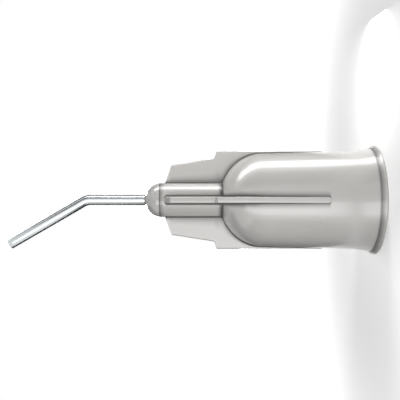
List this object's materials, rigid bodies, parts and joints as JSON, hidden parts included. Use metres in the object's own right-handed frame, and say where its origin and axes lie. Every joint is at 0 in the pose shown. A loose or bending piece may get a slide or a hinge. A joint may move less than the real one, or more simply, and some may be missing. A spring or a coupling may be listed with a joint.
{
  "type": "dispensing needle tip",
  "caption": "Bent steel cannula bonded in a moulded Luer hub with stepped fins, for dispensing fluid from a syringe.",
  "frame": {"origin": "centre of the hub's mouth face, which the tip stands on", "axes": "+Z along the hub from the mouth to the nose; the fins stand along X and Y, and the cannula bends towards -X"},
  "size_m": [0.0078, 0.0078, 0.0262],
  "materials": {
    "hub": "semi-gloss moulded plastic, warm light grey",
    "cannula": "drawn stainless steel",
    "adhesive": "smooth cured adhesive"
  },
  "bodies": {
    "root": {"hub": "hub", "cannula": "cannula", "adhesive_bead": "adhesive"}
  },
  "joints": []
}
